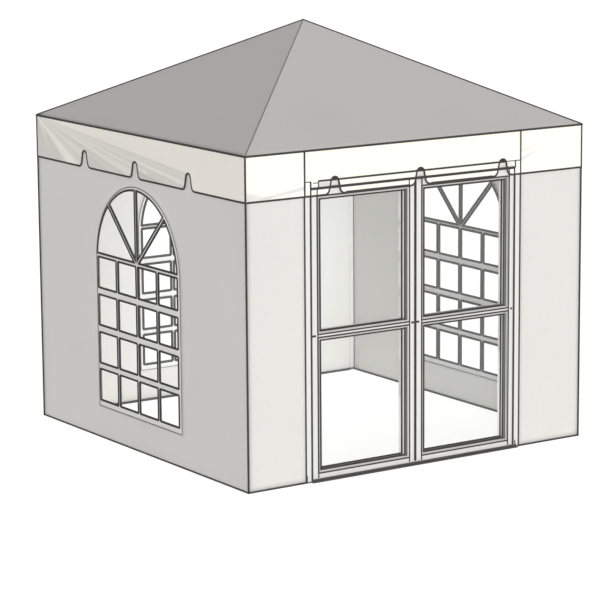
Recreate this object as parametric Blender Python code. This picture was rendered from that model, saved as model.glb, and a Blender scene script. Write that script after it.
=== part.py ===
"""A marquee tent, 3 m square, with a pyramid roof, three arched windows and a glazed double door.

Units are metres and +Z is up. The origin is on the ground, under the roof's peak. The door side faces -Y.
"""

import math

import bmesh
import bpy
from mathutils import Matrix

# Overall sizes
TENT_SIDE = 3.0
EAVE_HEIGHT = 2.40
PEAK_HEIGHT = 3.16
VALANCE_DROP = 0.325
CLOTH = 0.003

# Gaps between neighbours: seated pieces, cloth over cloth, and pieces that move past each other
SEAT = 0.0003
LAYER_GAP = 0.0005
RUNNING_GAP = 0.005
GROUND_GAP = 0.002

# Distance of each layer from the tent's centre, from the valance inwards
HALF = TENT_SIDE / 2
VALANCE_IN = HALF - CLOTH
WALL_OUT = VALANCE_IN - LAYER_GAP
WALL_IN = WALL_OUT - CLOTH
FRAME_OUT = WALL_IN - SEAT

# The roof's pitch, and the height lost through its cloth
ROOF_SLOPE = (PEAK_HEIGHT - EAVE_HEIGHT) / HALF
ROOF_DROP = CLOTH * math.hypot(1, ROOF_SLOPE)

# The four sides, as turns about Z from the door side
SIDES = {"front": 0, "right": 90, "back": 180, "left": 270}

# Notches in the valance's hem
NOTCH_PLACES = (-0.75, 0.0, 0.75)
NOTCH_HEIGHT = 0.122
NOTCH_TOP_RADIUS = 0.034
NOTCH_FOOT_RADIUS = 0.040
NOTCH_FOOT_HALF = 0.086
NOTCH_LEAN = 15
NOTCH_FOOT_STEPS = 6
NOTCH_TOP_STEPS = 10

# Frame sections
POST_LEG = 0.03
POST_WALL = 0.004
FOOT_SIDE = 0.05
FOOT_THICK = 0.005
BLOCK_SIDE = 0.08
BLOCK_FOOT = 2.34
POST_IN_BLOCK = 0.01
RAIL_DEPTH = 0.04
RAIL_HEIGHT = 0.05
RAFTER_RADIUS = 0.02
RAFTER_SIDES = 16
RAFTER_CREASE = 40
CROWN_APOTHEM = 0.065
CROWN_FOOT = 3.03
CROWN_SIDES = 8

# Arched windows, and the clear film welded behind each of them
WINDOW_HALF = 0.604
WINDOW_SILL = 0.25
WINDOW_SPRING = 1.40
ARC_STEPS = 32
FILM = 0.002
FILM_LAP = 0.025

# Door frame, whose middle is a little to the left of the tent's
DOOR_MIDDLE = -0.045
DOOR_HALF = 0.962
JAMB_WIDTH = 0.048
JAMB_DEPTH = 0.075
HEADER_TOP = 2.173
THRESHOLD_HEIGHT = 0.02

# Door leaves
MEETING_GAP = 0.012
STILE_WIDTH = 0.052
TOP_RAIL = 0.056
MIDDLE_RAIL = (1.048, 1.083)
BOTTOM_RAIL = 0.043
BEAD_SETBACK = 0.018
BEAD_DEPTH = 0.049
BEAD_AT_STILE = 0.034
BEAD_AT_RAIL = 0.018
BEAD_ROOT = 0.004
GLASS = 0.005
GLASS_BITE = 0.008
GLASS_SETBACK = 0.058

# Latch plates, one on each leaf where the leaves meet
LATCH_HEIGHT = 1.066
LATCH_PLATE = (0.024, 0.004, 0.014)
LATCH_INSET = 0.004

# Hinges, on the inner face, so that the leaves open inwards
HINGE_HEIGHTS = (0.30, 1.066, 1.85)
HINGE_HALF = 0.045
KNUCKLE_RADIUS = 0.009
KNUCKLE_SIDES = 16
PIN_RADIUS = 0.0045
BORE_RADIUS = 0.005
AXIS_OUT = 0.012
HINGE_PLATE = 0.035
PLATE_THICK = 0.005
PLATE_ROOT = 0.001
BORE_OVERRUN = 0.002

# Points closer together than this are welded into one
WELD = 1e-5

# Colours of the pieces, as red, green and blue
COLOURS = {
    "roof_cloth": ((0.42, 0.415, 0.40), 0.6, 0.0),
    "valance_cloth": ((0.90, 0.89, 0.84), 0.6, 0.0),
    "wall_cloth": ((0.72, 0.71, 0.68), 0.6, 0.0),
    "clear_film": ((0.95, 0.96, 0.96), 0.1, 0.0),
    "door_profile": ((0.80, 0.80, 0.78), 0.35, 0.1),
    "door_glass": ((0.93, 0.96, 0.96), 0.03, 0.0),
    "frame_metal": ((0.70, 0.70, 0.69), 0.35, 0.9),
}
materials = {}


def material(name):
    """The named material, made on first use."""
    if name not in materials:
        colour, roughness, metallic = COLOURS[name]
        made = bpy.data.materials.new(name)
        made.use_nodes = True
        shader = made.node_tree.nodes["Principled BSDF"]
        shader.inputs["Base Color"].default_value = (*colour, 1)
        shader.inputs["Roughness"].default_value = roughness
        shader.inputs["Metallic"].default_value = metallic
        materials[name] = made
    return materials[name]


def add(name, data, finish, parent=None):
    """An object for this mesh or curve, in the scene."""
    obj = bpy.data.objects.new(name, data)
    bpy.context.scene.collection.objects.link(obj)
    if finish:
        data.materials.append(material(finish))
    obj.parent = parent
    return obj


def empty(name, place=(0, 0, 0), turn=0):
    """A bare axis that pieces hang from."""
    obj = add(name, None, None)
    obj.location = place
    obj.rotation_euler = (0, 0, math.radians(turn))
    return obj


def box_mesh(name, low, high):
    """A block between two opposite corners."""
    shape = bmesh.new()
    bmesh.ops.create_cube(shape, size=1)
    size = [h - l for l, h in zip(low, high)]
    middle = [(h + l) / 2 for l, h in zip(low, high)]
    bmesh.ops.transform(
        shape,
        matrix=Matrix.Translation(middle) @ Matrix.Diagonal((*size, 1)),
        verts=shape.verts,
    )
    return finished(shape, name)


def finished(shape, name):
    """A mesh from this bmesh, with its faces pointing out."""
    bmesh.ops.recalc_face_normals(shape, faces=shape.faces)
    mesh = bpy.data.meshes.new(name)
    shape.to_mesh(mesh)
    shape.free()
    return mesh


def box(name, low, high, finish, parent=None):
    return add(name, box_mesh(name, low, high), finish, parent)


def prism_mesh(name, lower, upper, top_faces=None):
    """A solid between two matching outlines. top_faces splits the upper one where it isn't flat."""
    shape = bmesh.new()
    low = [shape.verts.new(p) for p in lower]
    high = [shape.verts.new(p) for p in upper]
    count = len(low)
    shape.faces.new(list(reversed(low)))
    for face in top_faces or [range(count)]:
        shape.faces.new([high[i] for i in face])
    for i in range(count):
        j = (i + 1) % count
        shape.faces.new((low[i], low[j], high[j], high[i]))
    return finished(shape, name)


def plate(name, loops, depth, finish, parent, inner):
    """An upright plate: the first loop is its outline and the others are holes, as (along, up) points.

    Its inner face stands at the distance inner from the side's origin, and depth is its thickness.
    """
    data = bpy.data.curves.new(name, "CURVE")
    data.dimensions = "2D"
    data.fill_mode = "BOTH"
    data.extrude = depth / 2
    for loop in loops:
        spline = data.splines.new("POLY")
        spline.points.add(len(loop) - 1)
        for point, (along, up) in zip(spline.points, loop):
            point.co = (along, up, 0, 1)
        spline.use_cyclic_u = True
    obj = add(name, data, finish, parent)
    obj.rotation_euler = (math.radians(90), 0, 0)
    obj.location = (0, -(inner + depth / 2), 0)
    return obj


def cut_or_join(target, operation, mesh, parent=None):
    """A Boolean on target with a helper made of this mesh."""
    helper = add(f"helper_{mesh.name}", mesh, None, parent)
    helper.hide_render = True
    helper.display_type = "WIRE"
    boolean = target.modifiers.new(mesh.name, "BOOLEAN")
    boolean.operation = operation
    boolean.object = helper


def cylinder_mesh(name, radius, low, high, middle, sides=KNUCKLE_SIDES):
    """An upright cylinder from height low to height high."""
    shape = bmesh.new()
    bmesh.ops.create_cone(
        shape,
        cap_ends=True,
        segments=sides,
        radius1=radius,
        radius2=radius,
        depth=high - low,
        matrix=Matrix.Translation((*middle, (low + high) / 2)),
    )
    return finished(shape, name)


def arc(middle, radius, start, end, steps):
    """Points on a circle from the angle start to the angle end, in degrees, both included."""
    turns = [math.radians(start + (end - start) * i / steps) for i in range(steps + 1)]
    return [
        (middle[0] + radius * math.cos(a), middle[1] + radius * math.sin(a))
        for a in turns
    ]


def rectangle(left, right, bottom, top):
    return [(left, bottom), (right, bottom), (right, top), (left, top)]


def roof_under(out):
    """Height of the roof cloth's underside at this distance out from the centre, square to an eave."""
    return PEAK_HEIGHT - ROOF_DROP - ROOF_SLOPE * out


# Heights that follow from the roof
VALANCE_TOP = roof_under(HALF) - SEAT
VALANCE_FOOT = EAVE_HEIGHT - VALANCE_DROP
WALL_TOP = roof_under(WALL_OUT) - SEAT
RAIL_TOP = roof_under(FRAME_OUT) - SEAT
RAIL_FOOT = RAIL_TOP - RAIL_HEIGHT

# Edges that follow from the door's sizes
LEFT_JAMB = DOOR_MIDDLE - DOOR_HALF
RIGHT_JAMB = DOOR_MIDDLE + DOOR_HALF
DOOR_FRONT = -WALL_OUT
DOOR_BACK = DOOR_FRONT + JAMB_DEPTH
LEAF_FRONT = -VALANCE_IN + RUNNING_GAP
LEAF_TOP = HEADER_TOP - JAMB_WIDTH - RUNNING_GAP
LEAF_FOOT = THRESHOLD_HEIGHT + RUNNING_GAP


def notch(middle):
    """The hem's outline round one notch, from left to right: a foot, a flaring side, a round top, and back."""
    top_centre = VALANCE_FOOT + NOTCH_HEIGHT - NOTCH_TOP_RADIUS
    foot_centre = VALANCE_FOOT + NOTCH_FOOT_RADIUS
    left_foot = arc(
        (middle - NOTCH_FOOT_HALF, foot_centre),
        NOTCH_FOOT_RADIUS,
        -90,
        -NOTCH_LEAN,
        NOTCH_FOOT_STEPS,
    )
    crest = arc(
        (middle, top_centre),
        NOTCH_TOP_RADIUS,
        180 - NOTCH_LEAN,
        NOTCH_LEAN,
        NOTCH_TOP_STEPS,
    )
    right_foot = [(2 * middle - x, z) for x, z in reversed(left_foot)]
    return left_foot + crest + right_foot


def valance_outline(half_length):
    hem = [(-half_length, VALANCE_FOOT)]
    for place in NOTCH_PLACES:
        hem += notch(place)
    hem.append((half_length, VALANCE_FOOT))
    return hem + [(half_length, VALANCE_TOP), (-half_length, VALANCE_TOP)]


def arch_outline(half, sill):
    """A window's outline: straight sides up to the spring of a half circle."""
    return [(-half, sill), (half, sill)] + arc(
        (0, WINDOW_SPRING), half, 0, 180, ARC_STEPS
    )


def build_roof(sides):
    """Four triangular cloth panels that meet along the hips, and the valance that hangs from each eave."""
    split = SEAT / 2
    for side, turned in sides.items():
        corners = [
            (-HALF + split, -HALF),
            (HALF - split, -HALF),
            (0, -split),
        ]
        upper = [(x, y, PEAK_HEIGHT + ROOF_SLOPE * y) for x, y in corners]
        lower = [(x, y, z - ROOF_DROP) for x, y, z in upper]
        mesh = prism_mesh(f"roof_panel_{side}", lower, upper)
        add(f"roof_panel_{side}", mesh, "roof_cloth", turned)
        long_side = side in ("front", "back")
        half_length = HALF if long_side else VALANCE_IN - SEAT
        plate(
            f"valance_{side}",
            [valance_outline(half_length)],
            CLOTH,
            "valance_cloth",
            turned,
            VALANCE_IN,
        )


def build_window_wall(side, turned):
    """A cloth wall with an arched window cut through it, and the clear film welded behind."""
    half_length = FRAME_OUT if side == "back" else WALL_OUT
    outline = rectangle(-half_length, half_length, GROUND_GAP, WALL_TOP)
    hole = arch_outline(WINDOW_HALF, WINDOW_SILL)
    plate(f"wall_{side}", [outline, hole], CLOTH, "wall_cloth", turned, WALL_IN)
    lap = arch_outline(WINDOW_HALF + FILM_LAP, WINDOW_SILL - FILM_LAP)
    plate(
        f"window_film_{side}",
        [lap],
        FILM,
        "clear_film",
        turned,
        FRAME_OUT - FILM,
    )


def build_front_wall(turned):
    """The door side's cloth: a panel on each side of the door, and one over it."""
    panels = {
        "wall_front_left": (-FRAME_OUT, LEFT_JAMB - SEAT, GROUND_GAP),
        "wall_front_right": (RIGHT_JAMB + SEAT, FRAME_OUT, GROUND_GAP),
        "wall_front_over_door": (
            LEFT_JAMB + SEAT,
            RIGHT_JAMB - SEAT,
            HEADER_TOP + SEAT,
        ),
    }
    for name, (left, right, foot) in panels.items():
        outline = rectangle(left, right, foot, WALL_TOP)
        plate(name, [outline], CLOTH, "wall_cloth", turned, WALL_IN)


def build_post(name, turned):
    """A corner post: an angle section, a foot plate and the block that the rails and rafter meet.

    It is drawn for the corner at +X and -Y of its side.
    """
    out = FRAME_OUT
    leg = out - POST_LEG
    inner = out - POST_WALL
    section = [
        (out, -out),
        (out, -leg),
        (inner, -leg),
        (inner, -inner),
        (leg, -inner),
        (leg, -out),
    ]
    top = BLOCK_FOOT + POST_IN_BLOCK
    mesh = prism_mesh(
        name,
        [(x, y, FOOT_THICK / 2) for x, y in section],
        [(x, y, top) for x, y in section],
    )
    post = add(name, mesh, "frame_metal", turned)
    foot = box_mesh(
        f"{name}_foot",
        (out - FOOT_SIDE, -out, 0),
        (out, -out + FOOT_SIDE, FOOT_THICK),
    )
    cut_or_join(post, "UNION", foot, turned)
    back = out - BLOCK_SIDE
    face = out - RAIL_DEPTH
    middle = (back + face) / 2
    plan = [(out, -out), (out, -back), (face, -back), (middle, -middle)]
    plan += [(back, -face), (back, -out)]
    heights = [roof_under(max(x, -y)) - SEAT for x, y in plan]
    block = prism_mesh(
        f"{name}_block",
        [(x, y, BLOCK_FOOT) for x, y in plan],
        [(x, y, z) for (x, y), z in zip(plan, heights)],
        top_faces=[(0, 1, 2, 3), (0, 3, 4, 5)],
    )
    cut_or_join(post, "UNION", block, turned)


def build_rafter(name, turned):
    """A round hip rafter from the crown to a corner block, cut upright at both ends."""
    start = CROWN_APOTHEM + SEAT
    end = (2 * FRAME_OUT - BLOCK_SIDE - RAIL_DEPTH) / math.sqrt(2) - SEAT
    hip_fall = ROOF_SLOPE / math.sqrt(2)
    sink = (RAFTER_RADIUS + LAYER_GAP) * math.hypot(1, hip_fall, hip_fall)
    start_height = roof_under(start / math.sqrt(2)) - sink
    fall = hip_fall * (end - start)
    shape = bmesh.new()
    bmesh.ops.create_cone(
        shape,
        cap_ends=True,
        segments=RAFTER_SIDES,
        radius1=RAFTER_RADIUS,
        radius2=RAFTER_RADIUS,
        depth=1,
        matrix=Matrix.Translation((0, 0, 0.5)),
    )
    out = 1 / math.sqrt(2)
    run = end - start
    slope = Matrix(
        (
            (out, 0, run * out, start * out),
            (out, 0, -run * out, -start * out),
            (0, 1, -fall, start_height),
            (0, 0, 0, 1),
        )
    )
    bmesh.ops.transform(shape, matrix=slope, verts=shape.verts)
    rafter = add(name, finished(shape, name), "frame_metal", turned)
    rafter.data.shade_smooth()
    rafter.data.set_sharp_from_angle(angle=math.radians(RAFTER_CREASE))


def build_crown():
    """The eight-sided hub under the peak that the rafters meet."""
    radius = CROWN_APOTHEM / math.cos(math.pi / CROWN_SIDES)
    peak = roof_under(0) - LAYER_GAP
    shoulder = peak - ROOF_SLOPE * CROWN_APOTHEM
    ring = [
        (radius * math.cos(a), radius * math.sin(a))
        for a in (math.pi / CROWN_SIDES * (2 * i + 1) for i in range(CROWN_SIDES))
    ]
    shape = bmesh.new()
    low = [shape.verts.new((x, y, CROWN_FOOT)) for x, y in ring]
    high = [shape.verts.new((x, y, shoulder)) for x, y in ring]
    tip = shape.verts.new((0, 0, peak))
    shape.faces.new(list(reversed(low)))
    for i in range(CROWN_SIDES):
        j = (i + 1) % CROWN_SIDES
        shape.faces.new((low[i], low[j], high[j], high[i]))
        shape.faces.new((high[i], high[j], tip))
    add("roof_crown", finished(shape, "roof_crown"), "frame_metal")


def build_frame(sides):
    """Corner posts, eave rails, hip rafters and the crown."""
    corners = {
        "front": "front_right",
        "right": "back_right",
        "back": "back_left",
        "left": "front_left",
    }
    reach = FRAME_OUT - BLOCK_SIDE - SEAT
    for side, turned in sides.items():
        build_post(f"post_{corners[side]}", turned)
        build_rafter(f"rafter_{corners[side]}", turned)
        box(
            f"eave_rail_{side}",
            (-reach, -FRAME_OUT, RAIL_FOOT),
            (reach, -FRAME_OUT + RAIL_DEPTH, RAIL_TOP),
            "frame_metal",
            turned,
        )
    build_crown()


def build_jamb(name, outer, axis_x, hand):
    """A door post that carries on up to the eave rail behind the cloth, with the pinned hinge halves.

    hand is 1 for the left one and -1 for the right one. outer is the edge next to the cloth wall.
    """
    inner = outer + hand * JAMB_WIDTH
    low, high = sorted((outer, inner))
    back = -FRAME_OUT + RAIL_DEPTH
    section = [
        (DOOR_FRONT, 0),
        (DOOR_BACK, 0),
        (DOOR_BACK, HEADER_TOP),
        (back, HEADER_TOP),
        (back, RAIL_FOOT - SEAT),
        (-FRAME_OUT, RAIL_FOOT - SEAT),
        (-FRAME_OUT, HEADER_TOP),
        (DOOR_FRONT, HEADER_TOP),
    ]
    mesh = prism_mesh(
        name, [(low, y, z) for y, z in section], [(high, y, z) for y, z in section]
    )
    jamb = add(name, mesh, "door_profile")
    axis = (axis_x, DOOR_BACK + AXIS_OUT)
    for number, height in enumerate(HINGE_HEIGHTS):
        foot, top = height - HINGE_HALF, height - LAYER_GAP
        edges = sorted((axis_x, axis_x - hand * HINGE_PLATE))
        wing = box_mesh(
            f"{name}_hinge_plate_{number}",
            (edges[0], DOOR_BACK - PLATE_ROOT, foot),
            (edges[1], DOOR_BACK + PLATE_THICK, top),
        )
        barrel = cylinder_mesh(
            f"{name}_knuckle_{number}", KNUCKLE_RADIUS, foot, top, axis
        )
        pin = cylinder_mesh(
            f"{name}_pin_{number}",
            PIN_RADIUS,
            height - HINGE_HALF / 2,
            height + HINGE_HALF - PLATE_THICK,
            axis,
        )
        for piece in (wing, barrel, pin):
            cut_or_join(jamb, "UNION", piece)


def leaf_openings(left, right):
    """The lower and upper openings between a leaf's stiles and rails."""
    inner_left, inner_right = left + STILE_WIDTH, right - STILE_WIDTH
    lower = (inner_left, inner_right, LEAF_FOOT + BOTTOM_RAIL, MIDDLE_RAIL[0])
    upper = (inner_left, inner_right, MIDDLE_RAIL[1], LEAF_TOP - TOP_RAIL)
    return {"lower": lower, "upper": upper}


def inset(opening, at_stile, at_rail):
    left, right, bottom, top = opening
    return (left + at_stile, right - at_stile, bottom + at_rail, top - at_rail)


def build_leaf(name, left, right, hinge_x, hand):
    """A door leaf: stiles and rails with set-back beads, a pane in each opening, and its hinge halves."""
    axis_y = DOOR_BACK + AXIS_OUT
    pivot = empty(f"{name}_axis", (hinge_x, axis_y, 0))
    openings = leaf_openings(left, right)

    def in_leaf(obj):
        obj.location.x -= hinge_x
        obj.location.y -= axis_y
        obj.parent = pivot
        return obj

    outline = rectangle(left, right, LEAF_FOOT, LEAF_TOP)
    holes = [rectangle(*opening) for opening in openings.values()]
    thick = DOOR_BACK - LEAF_FRONT
    whole = plate(
        f"{name}_blank", [outline] + holes, thick, None, None, -LEAF_FRONT - thick
    )
    mesh = evaluated_mesh(whole, f"{name}_frame")
    frame = in_leaf(add(f"{name}_frame", mesh, "door_profile"))
    bead_front = LEAF_FRONT + BEAD_SETBACK
    glass_front = LEAF_FRONT + GLASS_SETBACK
    for place, opening in openings.items():
        outside = rectangle(*inset(opening, -BEAD_ROOT, -BEAD_ROOT))
        sight = inset(opening, BEAD_AT_STILE, BEAD_AT_RAIL)
        ring = plate(
            f"{name}_bead_{place}_blank",
            [outside, rectangle(*sight)],
            BEAD_DEPTH,
            None,
            None,
            -bead_front - BEAD_DEPTH,
        )
        bead = evaluated_mesh(ring, f"{name}_bead_{place}")
        cut_or_join(frame, "UNION", bead)
        pane = inset(sight, -GLASS_BITE, -GLASS_BITE)
        groove = inset(pane, -SEAT, -SEAT)
        cutter = box_mesh(
            f"{name}_groove_{place}",
            (groove[0], glass_front - SEAT, groove[2]),
            (groove[1], glass_front + GLASS + SEAT, groove[3]),
        )
        cut_or_join(frame, "DIFFERENCE", cutter)
        in_leaf(
            box(
                f"{name}_glass_{place}",
                (pane[0], glass_front, pane[2]),
                (pane[1], glass_front + GLASS, pane[3]),
                "door_glass",
            )
        )
    free_edge = right if hand > 0 else left
    long, proud, high = LATCH_PLATE
    edges = sorted((free_edge - hand * LATCH_INSET, free_edge - hand * (LATCH_INSET + long)))
    in_leaf(
        box(
            f"{name}_latch",
            (edges[0], LEAF_FRONT - proud, LATCH_HEIGHT - high / 2),
            (edges[1], LEAF_FRONT - SEAT, LATCH_HEIGHT + high / 2),
            "frame_metal",
        )
    )
    for number, height in enumerate(HINGE_HEIGHTS):
        foot, top = height + LAYER_GAP, height + HINGE_HALF
        edges = sorted((hinge_x, hinge_x + hand * HINGE_PLATE))
        wing = box_mesh(
            f"{name}_hinge_plate_{number}",
            (edges[0], DOOR_BACK - PLATE_ROOT, foot),
            (edges[1], DOOR_BACK + PLATE_THICK, top),
        )
        middle = (hinge_x, axis_y)
        barrel = cylinder_mesh(
            f"{name}_knuckle_{number}", KNUCKLE_RADIUS, foot, top, middle
        )
        bore = cylinder_mesh(
            f"{name}_bore_{number}",
            BORE_RADIUS,
            foot - BORE_OVERRUN,
            top + BORE_OVERRUN,
            middle,
        )
        cut_or_join(frame, "UNION", wing)
        cut_or_join(frame, "UNION", barrel)
        cut_or_join(frame, "DIFFERENCE", bore)


def evaluated_mesh(source, name):
    """The mesh of a curve in place, welded, with the curve itself taken away."""
    bpy.context.view_layer.update()
    graph = bpy.context.evaluated_depsgraph_get()
    mesh = bpy.data.meshes.new_from_object(source.evaluated_get(graph))
    mesh.transform(source.matrix_world)
    mesh.name = name
    shape = bmesh.new()
    shape.from_mesh(mesh)
    bmesh.ops.remove_doubles(shape, verts=shape.verts, dist=WELD)
    bpy.data.meshes.remove(mesh)
    bpy.data.objects.remove(source)
    return finished(shape, name)


def build_door():
    """The door frame in the front wall, and its two leaves."""
    left_inner, right_inner = LEFT_JAMB + JAMB_WIDTH, RIGHT_JAMB - JAMB_WIDTH
    left_axis = left_inner + RUNNING_GAP / 2
    right_axis = right_inner - RUNNING_GAP / 2
    build_jamb("door_jamb_left", LEFT_JAMB, left_axis, 1)
    build_jamb("door_jamb_right", RIGHT_JAMB, right_axis, -1)
    cross_pieces = {
        "door_header": (HEADER_TOP - JAMB_WIDTH, HEADER_TOP),
        "door_threshold": (0, THRESHOLD_HEIGHT),
    }
    for name, (foot, top) in cross_pieces.items():
        box(
            name,
            (left_inner + SEAT, DOOR_FRONT, foot),
            (right_inner - SEAT, DOOR_BACK, top),
            "door_profile",
        )
    half_gap = MEETING_GAP / 2
    build_leaf(
        "door_leaf_left",
        left_inner + RUNNING_GAP,
        DOOR_MIDDLE - half_gap,
        left_axis,
        1,
    )
    build_leaf(
        "door_leaf_right",
        DOOR_MIDDLE + half_gap,
        right_inner - RUNNING_GAP,
        right_axis,
        -1,
    )


def main():
    for obj in list(bpy.data.objects):
        bpy.data.objects.remove(obj)
    sides = {
        side: empty(f"side_{side}", turn=turn) for side, turn in SIDES.items()
    }
    build_frame(sides)
    build_roof(sides)
    for side in ("right", "back", "left"):
        build_window_wall(side, sides[side])
    build_front_wall(sides["front"])
    build_door()


main()
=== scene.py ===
"""The marquee tent's looks: cloth, bindings, windows, door trim, finishes, studio and camera.

Everything is in metres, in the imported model's frame: +Z up, the ground at 0 and the door side facing -Y.
A side's own drawing has its first axis along the side, to the right of someone outside, and its second axis
up. Out is the distance from the tent's middle towards that side.
"""

import math

import bpy
import numpy as np
from mathutils import Matrix, Vector


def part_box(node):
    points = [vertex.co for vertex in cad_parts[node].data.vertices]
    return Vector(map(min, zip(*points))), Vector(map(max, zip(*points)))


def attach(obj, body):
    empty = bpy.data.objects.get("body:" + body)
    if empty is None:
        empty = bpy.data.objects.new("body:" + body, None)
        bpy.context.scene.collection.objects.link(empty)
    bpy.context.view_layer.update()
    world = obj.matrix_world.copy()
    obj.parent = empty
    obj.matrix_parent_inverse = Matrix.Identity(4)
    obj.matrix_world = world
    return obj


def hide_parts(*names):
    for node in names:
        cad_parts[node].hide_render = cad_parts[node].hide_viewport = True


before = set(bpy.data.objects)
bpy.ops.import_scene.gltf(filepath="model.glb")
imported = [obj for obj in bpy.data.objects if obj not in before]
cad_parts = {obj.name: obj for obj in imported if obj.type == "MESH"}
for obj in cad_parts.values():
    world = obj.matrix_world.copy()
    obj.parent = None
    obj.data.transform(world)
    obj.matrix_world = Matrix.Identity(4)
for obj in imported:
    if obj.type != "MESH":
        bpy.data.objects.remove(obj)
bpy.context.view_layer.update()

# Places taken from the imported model
valance_low, valance_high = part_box("valance_front")
wall_low, wall_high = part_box("wall_front_left")
film_low, film_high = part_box("window_film_back")
header_low, header_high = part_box("door_header")
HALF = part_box("roof_panel_front")[1].x + 0.00015
PEAK, EAVE = 3.16, 2.40
HEM, VALANCE_TOP, VALANCE_FACE = valance_low.z, valance_high.z, -valance_low.y
SIDE_VALANCE_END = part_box("valance_left")[1].y
WALL_FACE, WALL_END, WALL_FOOT, WALL_TOP = -wall_low.y, wall_low.x, wall_low.z, wall_high.z
FILM_FACE, FILM_BACK = film_high.y, film_low.y
HEADER_FOOT, HEADER_TOP = header_low.z, header_high.z
LEAF_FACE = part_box("door_leaf_left_frame")[0].y
POST_FACE = -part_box("post_front_left")[0].x

# The four sides, as turns about Z from the door side
SIDES = {"front": 0, "right": 90, "back": 180, "left": 270}
WINDOW_SIDES = ("right", "back", "left")

# Cloth
CLOTH = 0.0016
ROOF_SAG = 0.009
NOTCH_PLACES = (-0.75, 0.0, 0.75)
NOTCH_HEIGHT = 0.122
NOTCH_TOP_RADIUS = 0.034
NOTCH_FOOT_RADIUS = 0.040
NOTCH_FOOT_HALF = 0.086
NOTCH_LEAN = math.radians(15)
FILM_THICK = 0.0012

# Piping, bindings and cords: a radius, or half a width and half a thickness
EAVE_RADIUS = 0.0078
NEAR_HIP_RADIUS, HIP_RADIUS = 0.0034, 0.0055
HOLE_RADIUS, HOLE_BACK_RADIUS = 0.0028, 0.0024
CORNER_RADIUS, VALANCE_CORNER_RADIUS = 0.0072, 0.0068
CORD_RADIUS = 0.0036
HEM_BINDING = (0.0072, 0.0030)
OVER_DOOR_HEM = (0.0175, 0.0007)
FOOT_BINDING, FOOT_TAPE = (0.0058, 0.0056), (0.0064, 0.0010)
WELT_HALF_THICK, PATCH_HALF_THICK = 0.0014, 0.0006

# How far each wall's hem turns in over the ground, between the posts' foot plates
FLAP_REACH = {"right": 0.012, "back": 0.034, "left": 0.016}
FLAP_END = 1.4425

# Windows: the hole, its panes and the tapes between them
HOLE_HALF = 0.604
HOLE_SILL = 0.25
SPRING = 1.40
FILM_LAP = 0.025
PANE_COLUMNS = ((-0.575, -0.306), (-0.279, -0.0135), (0.0135, 0.279), (0.306, 0.575))
PANE_ROWS = ((0.296, 0.540), (0.587, 0.827), (0.882, 1.118), (1.172, 1.410))
PANE_CORNER = 0.009
FAN_FOOT, FAN_RADIUS = 1.425, 0.580
SPOKE_HALF = 0.013
STRAP_HALF = 0.0250

# How far each window's panes stand to the left of its middle, how much farther the fan's do, and how thick
# their edging is
PANE_SHIFT = {"left": 0.009, "right": 0.009, "back": 0.0}
FAN_SHIFT = 0.004
EDGING_RADIUS = {"left": 0.0084, "right": 0.0094, "back": 0.0105}

# Door
OUTER_LINES = (-1.007, 0.917)
INNER_LINES = (-0.9565, 0.8665)
STILE_LINES = (-0.902, -0.101, 0.013, 0.812)
SILL_ENDS = (-0.9615, 0.8990)
DOOR_MIDDLE = -0.045
LEAF_SPANS = {"left": (-0.954, -0.051), "right": (-0.039, 0.864)}
LEAF_FOOT, LEAF_TOP = 0.025, 2.12
LEAF_BACK = -1.4215
STILE = 0.052
OPENING_HEIGHTS = ((0.068, 1.048), (1.083, 2.064))
LATCH_HEIGHT = 1.066
HINGE_PLATE, LATCH_PLATE = (0.0076, 0.0014), (0.0078, 0.0022)
HINGE_PLATE_REACH = {"left": 0.0321, "right": 0.0166}
LATCH_ENDS = {"left": (-0.0740, -0.0520), "right": (-0.0380, -0.0040)}

# How far the glass's edge and its spacers lie inside an opening's left, right, foot and top
GLASS_EDGE = (0.0345, 0.0345, 0.0185, 0.0185)
SPACER_EDGE = (0.0344, 0.0344, 0.0184, 0.0184)

# Directions out of the drawing of a side
OUT = np.array([0.0, -1.0, 0.0])
UP = np.array([0.0, 0.0, 1.0])


# Shapes: arrays of points, faces as rows of point numbers, and a UV for each face corner


def turned(points, side):
    """Points of the door side's drawing, turned about Z to another side."""
    angle = math.radians(SIDES[side])
    cosine, sine = math.cos(angle), math.sin(angle)
    return points @ np.array([[cosine, sine, 0], [-sine, cosine, 0], [0, 0, 1]])


def side_shape(shape, side):
    """A shape of the door side's drawing, turned to another side."""
    return (turned(shape[0], side), *shape[1:])


def on_grid(points, wrap_first=False, wrap_second=False, flip=False):
    """Quads between the neighbours of a grid of points. A wrapped direction joins its end to its start."""
    first, second = points.shape[:2]
    number = np.arange(first * second).reshape(first, second)
    if wrap_first:
        number = np.vstack([number, number[:1]])
    if wrap_second:
        number = np.hstack([number, number[:, :1]])
    a, b = number[:-1, :-1], number[1:, :-1]
    c, d = number[1:, 1:], number[:-1, 1:]
    quads = np.stack((a, d, c, b) if flip else (a, b, c, d), -1).reshape(-1, 4)
    return points.reshape(-1, 3), quads.tolist()


def unit(vectors):
    """Each vector at length one."""
    return vectors / np.linalg.norm(vectors, axis=-1, keepdims=True)


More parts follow.
